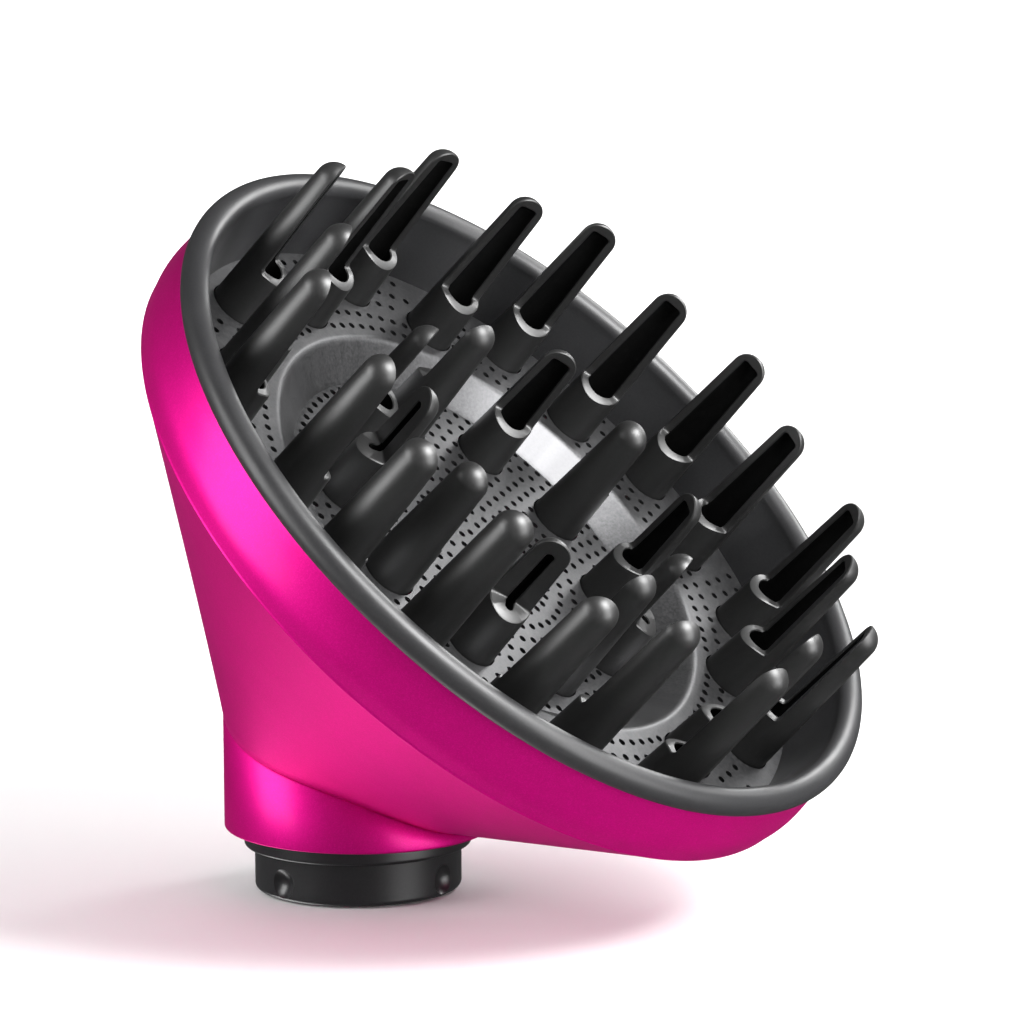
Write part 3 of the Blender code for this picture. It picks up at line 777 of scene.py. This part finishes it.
def outer_perforations(fingers):
    """Staggered rows that fan out between the fingers and stop short of the rim."""
    step = 2.0 * pi / OUTER_ROW_COUNT
    sector = 4.0 * pi / OUTER_COUNT
    points = []
    for row, radius in enumerate(OUTER_ROWS):
        for index in range(OUTER_ROW_COUNT):
            angle = OUTER_ROW_PHASE + step * (index + 0.5 * (row % 2))
            off_near = (angle - FINGER_PHASE + sector / 2.0) % sector - sector / 2.0
            behind_finger = radius > OUTER_FAR_RADIUS and abs(off_near) < BEHIND_FINGER
            off_side = abs(abs(off_near) - LAST_ROW_SIDE)
            left_out = radius > LAST_ROW_FROM and off_side > LAST_ROW_REACH
            point = polar(radius, angle, 0.0)
            if not behind_finger and not left_out and is_clear(point, fingers):
                points.append(point)
    return points


def disc_perforations(fingers):
    """Rings of holes over the inner disc, all at about the same pitch."""
    points = [Vector((0.0, 0.0, 0.0))]
    for row in range(1, DISC_ROWS + 1):
        radius = row * DISC_ROW_SPACING
        count = round(2.0 * pi * radius / DISC_HOLE_PITCH)
        for angle in round_angles(count):
            point = polar(radius, angle, 0.0)
            if is_clear(point, fingers):
                points.append(point)
    return points


def is_clear(point, fingers):
    return all((point.xy - finger.xy).length > CLEAR_OF_FINGER for finger in fingers)


def build_plate():
    """The stepped plate: a perforated ring, a sloping wall, a narrow groove and a perforated disc."""
    built = bmesh.new()
    outer = [place.translation for _, place, kind in finger_places() if kind == "outer"]
    inner = [place.translation for _, place, kind in finger_places() if kind != "outer"]
    origin = Vector((0.0, 0.0, 0.0))
    edge = Vector((STEP_TOP[0] + STEP_SOFTNESS, 0.0, PLATE_HEIGHT))
    groove = Vector((STEP_FOOT[0] - GROOVE_WIDTH, 0.0, DISC_HEIGHT))
    loops = [circle(origin, PLATE_RADIUS, ROUND_STEPS), circle(origin, edge.x, ROUND_STEPS)]
    loops += [circle(centre, FINGER_HOLE, FINGER_HOLE_SIDES) for centre in outer]
    loops += perforations(outer_perforations(outer))
    perforated_face(built, PLATE_HEIGHT, loops)
    loops = [circle(origin, groove.x, ROUND_STEPS)]
    loops += [circle(centre, FINGER_HOLE, FINGER_HOLE_SIDES) for centre in inner]
    loops += perforations(disc_perforations(inner))
    perforated_face(built, DISC_HEIGHT, loops)
    top = Vector((STEP_TOP[0], 0.0, PLATE_HEIGHT))
    foot = Vector((STEP_FOOT[0], 0.0, STEP_FOOT[1]))
    profile = [edge] + softened(edge, top, foot, STEP_SOFTNESS, STEP_SOFTNESS_STEPS)
    profile += rows_between(profile[-1], foot, STEP_ROWS)
    profile += [foot, Vector((groove.x, 0.0, STEP_FOOT[1])), groove]
    rings = []
    for angle in round_angles():
        rings.append([built.verts.new(polar(point.x, angle, point.z)) for point in profile])
    for index, ring in enumerate(rings):
        following = rings[(index + 1) % len(rings)]
        for row in range(len(ring) - 1):
            built.faces.new((ring[row], ring[row + 1], following[row + 1], following[row]))
    bmesh.ops.remove_doubles(built, verts=built.verts, dist=PLATE_WELD)
    mesh = finished_mesh("plate", built)
    made = piece("plate", mesh, PLATE_METAL, BOWL, "head")
    thicken = made.modifiers.new("thickness", "SOLIDIFY")
    thicken.thickness = PLATE_THICKNESS
    thicken.offset = -1.0
    apply_modifiers(made, PLATE_SHARP_ANGLE)
    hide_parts("diffuser_plate")


# Collar


def build_collar():
    """The collar: a plain ring with pockets, a wider shoulder and a spigot with two grooves."""
    step = Vector((COLLAR_RADIUS, 0.0, COLLAR_STEP))
    underside = Vector((COLLAR_RADIUS + SHOULDER_START[0], 0.0, COLLAR_STEP + SHOULDER_START[1]))
    shoulder = Vector((SHOULDER_RADIUS, 0.0, SHOULDER_FOOT))
    top = Vector((SHOULDER_RADIUS, 0.0, SHELF_BOTTOM - SLIT))
    side = softened(Vector((COLLAR_RADIUS, 0.0, 0.0)), step, underside, COLLAR_STEP_ROUNDING, steps=4)
    side += softened(underside, shoulder, top, SHOULDER_ROUNDING, steps=6)
    section = [(COLLAR_BORE, BORE_EDGE), (COLLAR_BORE + BORE_EDGE, 0.0)]
    edge_centre = (COLLAR_RADIUS - COLLAR_EDGE, COLLAR_EDGE)
    section += arc(edge_centre, COLLAR_EDGE, -pi / 2.0, 0.0, COLLAR_EDGE_STEPS)
    section += [(point.x, point.z) for point in side]
    section += [
        (SHOULDER_RADIUS, SHELF_BOTTOM - SLIT),
        (SPIGOT_RADIUS, SHELF_BOTTOM - SLIT),
        (SPIGOT_RADIUS, SEAL_GROOVE[0]),
        (SEAL_GROOVE[2], SEAL_GROOVE[0]),
        (SEAL_GROOVE[2], SEAL_GROOVE[1]),
        (SPIGOT_RADIUS, SEAL_GROOVE[1]),
        (SPIGOT_RADIUS, CLIP_GROOVE[0]),
        (CLIP_GROOVE[2], CLIP_GROOVE[0]),
        (CLIP_GROOVE[2], CLIP_GROOVE[1]),
        (SPIGOT_RADIUS, CLIP_GROOVE[1]),
        (SPIGOT_RADIUS, SPIGOT_TOP),
        (COLLAR_BORE, SPIGOT_TOP),
    ]
    mesh = turned_ring("collar", section)
    made = piece("collar", mesh, BLACK_PLASTIC, Matrix.Identity(4), "collar")
    cutters = [pocket_cutter(angle) for angle in POCKET_ANGLES]
    for cutter in cutters:
        cut = made.modifiers.new("pocket", "BOOLEAN")
        cut.operation = "DIFFERENCE"
        cut.solver = "EXACT"
        cut.object = cutter
    apply_modifiers(made, SHARP_ANGLE)
    for cutter in cutters:
        bpy.data.objects.remove(cutter, do_unlink=True)
    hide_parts("coupling_collar")


def pocket_cutter(angle):
    """A ball that leaves a dished pocket in the collar's side."""
    ball = (POCKET_RADIUS**2 + POCKET_DEPTH**2) / (2.0 * POCKET_DEPTH)
    centre = COLLAR_RADIUS - POCKET_DEPTH + ball
    turn = Matrix.Translation((0.0, 0.0, POCKET_HEIGHT)) @ Matrix.Rotation(angle, 4, "Z")
    built = bmesh.new()
    place = turn @ Matrix.Translation((centre, 0.0, 0.0)) @ Matrix.Rotation(pi / 2.0, 4, "Y")
    bmesh.ops.create_uvsphere(
        built, u_segments=POCKET_BALL_SIDES, v_segments=POCKET_BALL_ROWS, radius=ball, matrix=place
    )
    made = bpy.data.objects.new("pocket_cutter", finished_mesh("pocket_cutter", built))
    bpy.context.scene.collection.objects.link(made)
    return made


def carry_over(nodes, finish):
    """Gives CAD nodes that stay visible their finish."""
    for name in nodes:
        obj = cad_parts[name]
        obj.data.materials.clear()
        obj.data.materials.append(finish)


# Studio


def camera_axes():
    """The camera's right without its roll, then its right, up and back vectors."""
    level = cos(CAMERA_ELEVATION)
    back = Vector((cos(CAMERA_AZIMUTH) * level, sin(CAMERA_AZIMUTH) * level, sin(CAMERA_ELEVATION)))
    right = Vector((0.0, 0.0, 1.0)).cross(back).normalized()
    up = back.cross(right)
    rolled_right = right * cos(CAMERA_ROLL) + up * sin(CAMERA_ROLL)
    rolled_up = up * cos(CAMERA_ROLL) - right * sin(CAMERA_ROLL)
    return right, rolled_right, rolled_up, back


def build_camera():
    level_right, right, up, back = camera_axes()
    target = Vector((0.0, 0.0, CAMERA_HEIGHT)) + level_right * CAMERA_ASIDE
    data = bpy.data.cameras.new("camera")
    data.lens = CAMERA_LENS
    data.sensor_width = SENSOR_WIDTH
    data.clip_start = NEAREST_SEEN
    made = bpy.data.objects.new("camera", data)
    bpy.context.scene.collection.objects.link(made)
    matrix = Matrix((right, up, back)).transposed().to_4x4()
    matrix.translation = target + back * CAMERA_DISTANCE
    made.matrix_world = matrix
    bpy.context.scene.camera = made


def seen_from_camera(right_way, up_way, back_way):
    """A direction or shift given as the camera sees it: to its right, up, and back towards it."""
    _, right, up, back = camera_axes()
    return right * right_way + up * up_way + back * back_way


def softbox(name, place, target, width, height, power):
    """An area light at one point that faces another. It isn't seen itself."""
    data = bpy.data.lights.new(name, "AREA")
    data.shape = "RECTANGLE"
    data.size = width
    data.size_y = height
    data.energy = power
    made = bpy.data.objects.new(name, data)
    bpy.context.scene.collection.objects.link(made)
    made.location = place
    made.rotation_euler = (place - target).to_track_quat("Z", "Y").to_euler()
    made.visible_camera = False


def build_studio():
    """A pale floor that curves up into a wall all round, softboxes and a dim world.

    The stage isn't seen in reflections and lets the light of the boxes below its level through.
    """
    profile = [(radius, 0.0) for radius in FLOOR_RINGS]
    profile += arc((FLOOR_RADIUS, FLOOR_BEND), FLOOR_BEND, -pi / 2.0, 0.0, STAGE_BEND_STEPS)
    profile.append((FLOOR_RADIUS + FLOOR_BEND, WALL_TOP))
    built = bmesh.new()
    rows = []
    for radius, height in profile:
        points = [polar(radius, angle, height) for angle in round_angles(STAGE_SIDES)]
        rows.append([built.verts.new(point) for point in points])
    for lower, upper in zip(rows, rows[1:]):
        for side in range(STAGE_SIDES):
            following = (side + 1) % STAGE_SIDES
            built.faces.new((lower[side], lower[following], upper[following], upper[side]))
    built.faces.new(rows[0])
    mesh = finished_mesh("studio", built)
    mesh.materials.append(stage_paint())
    made = bpy.data.objects.new("studio", mesh)
    bpy.context.scene.collection.objects.link(made)
    made.location = (0.0, 0.0, cad_box[0][2] - SLIT)
    made.visible_glossy = False
    made.visible_shadow = False

    world = bpy.data.worlds.new("studio")
    world.use_nodes = True
    background = world.node_tree.nodes["Background"]
    background.inputs["Color"].default_value = (1.0, 1.0, 1.0, 1.0)
    background.inputs["Strength"].default_value = WORLD_STRENGTH
    bpy.context.scene.world = world
    bpy.context.scene.view_settings.view_transform = "Standard"

    for name, target, place, width, height, power in SOFTBOXES:
        softbox(name, target + seen_from_camera(*place), target, width, height, power)
    behind = seen_from_camera(*BACKDROP_LIGHT_PLACE)
    aim = behind + seen_from_camera(*BACKDROP_LIGHT_AIM)
    softbox("backdrop_light", behind, aim, *BACKDROP_LIGHT)


SHELL_PAINT = shell_paint()
GREY_PLASTIC = moulded(
    "dark_grey_plastic",
    dark=(0.014, 0.014, 0.015),
    light=(0.020, 0.020, 0.021),
    roughness=0.42,
    grain=2600.0,
)
FINGER_PLASTIC = moulded(
    "finger_plastic",
    dark=(0.008, 0.008, 0.008),
    light=(0.012, 0.012, 0.012),
    roughness=0.42,
    grain=2200.0,
    specular=0.8,
)
# Painted shade: the finger plastic made darker and matter for the inside of the bores, where the hollow
# lies in shade
BORE_PAINTED_SHADE = moulded(
    "bore_painted_shade",
    dark=(0.0015, 0.0015, 0.0015),
    light=(0.0025, 0.0025, 0.0025),
    roughness=0.70,
    grain=2200.0,
    specular=0.1,
)
BLACK_PLASTIC = moulded(
    "charcoal_plastic",
    dark=(0.008, 0.008, 0.009),
    light=(0.013, 0.013, 0.014),
    roughness=0.33,
    grain=2600.0,
    specular=0.6,
)
RUBBER = moulded(
    "black_rubber",
    dark=(0.012, 0.012, 0.012),
    light=(0.020, 0.020, 0.020),
    roughness=0.75,
    grain=1500.0,
)
STEEL = moulded(
    "screw_steel",
    dark=(0.50, 0.50, 0.51),
    light=(0.60, 0.60, 0.61),
    roughness=0.32,
    grain=1500.0,
    metallic=1.0,
)
PLATE_METAL = plate_metal()

build_camera()
build_shell()
build_rim()
build_plate()
build_fingers()
build_collar()
carry_over(["outer_finger_retainer", "inner_finger_retainer"], FINGER_PLASTIC)
carry_over([f"retainer_screw_{index:02d}" for index in range(1, 11)], STEEL)
carry_over(["collar_retaining_ring"], STEEL)
carry_over(["plate_gasket", "collar_seal"], RUBBER)
build_studio()
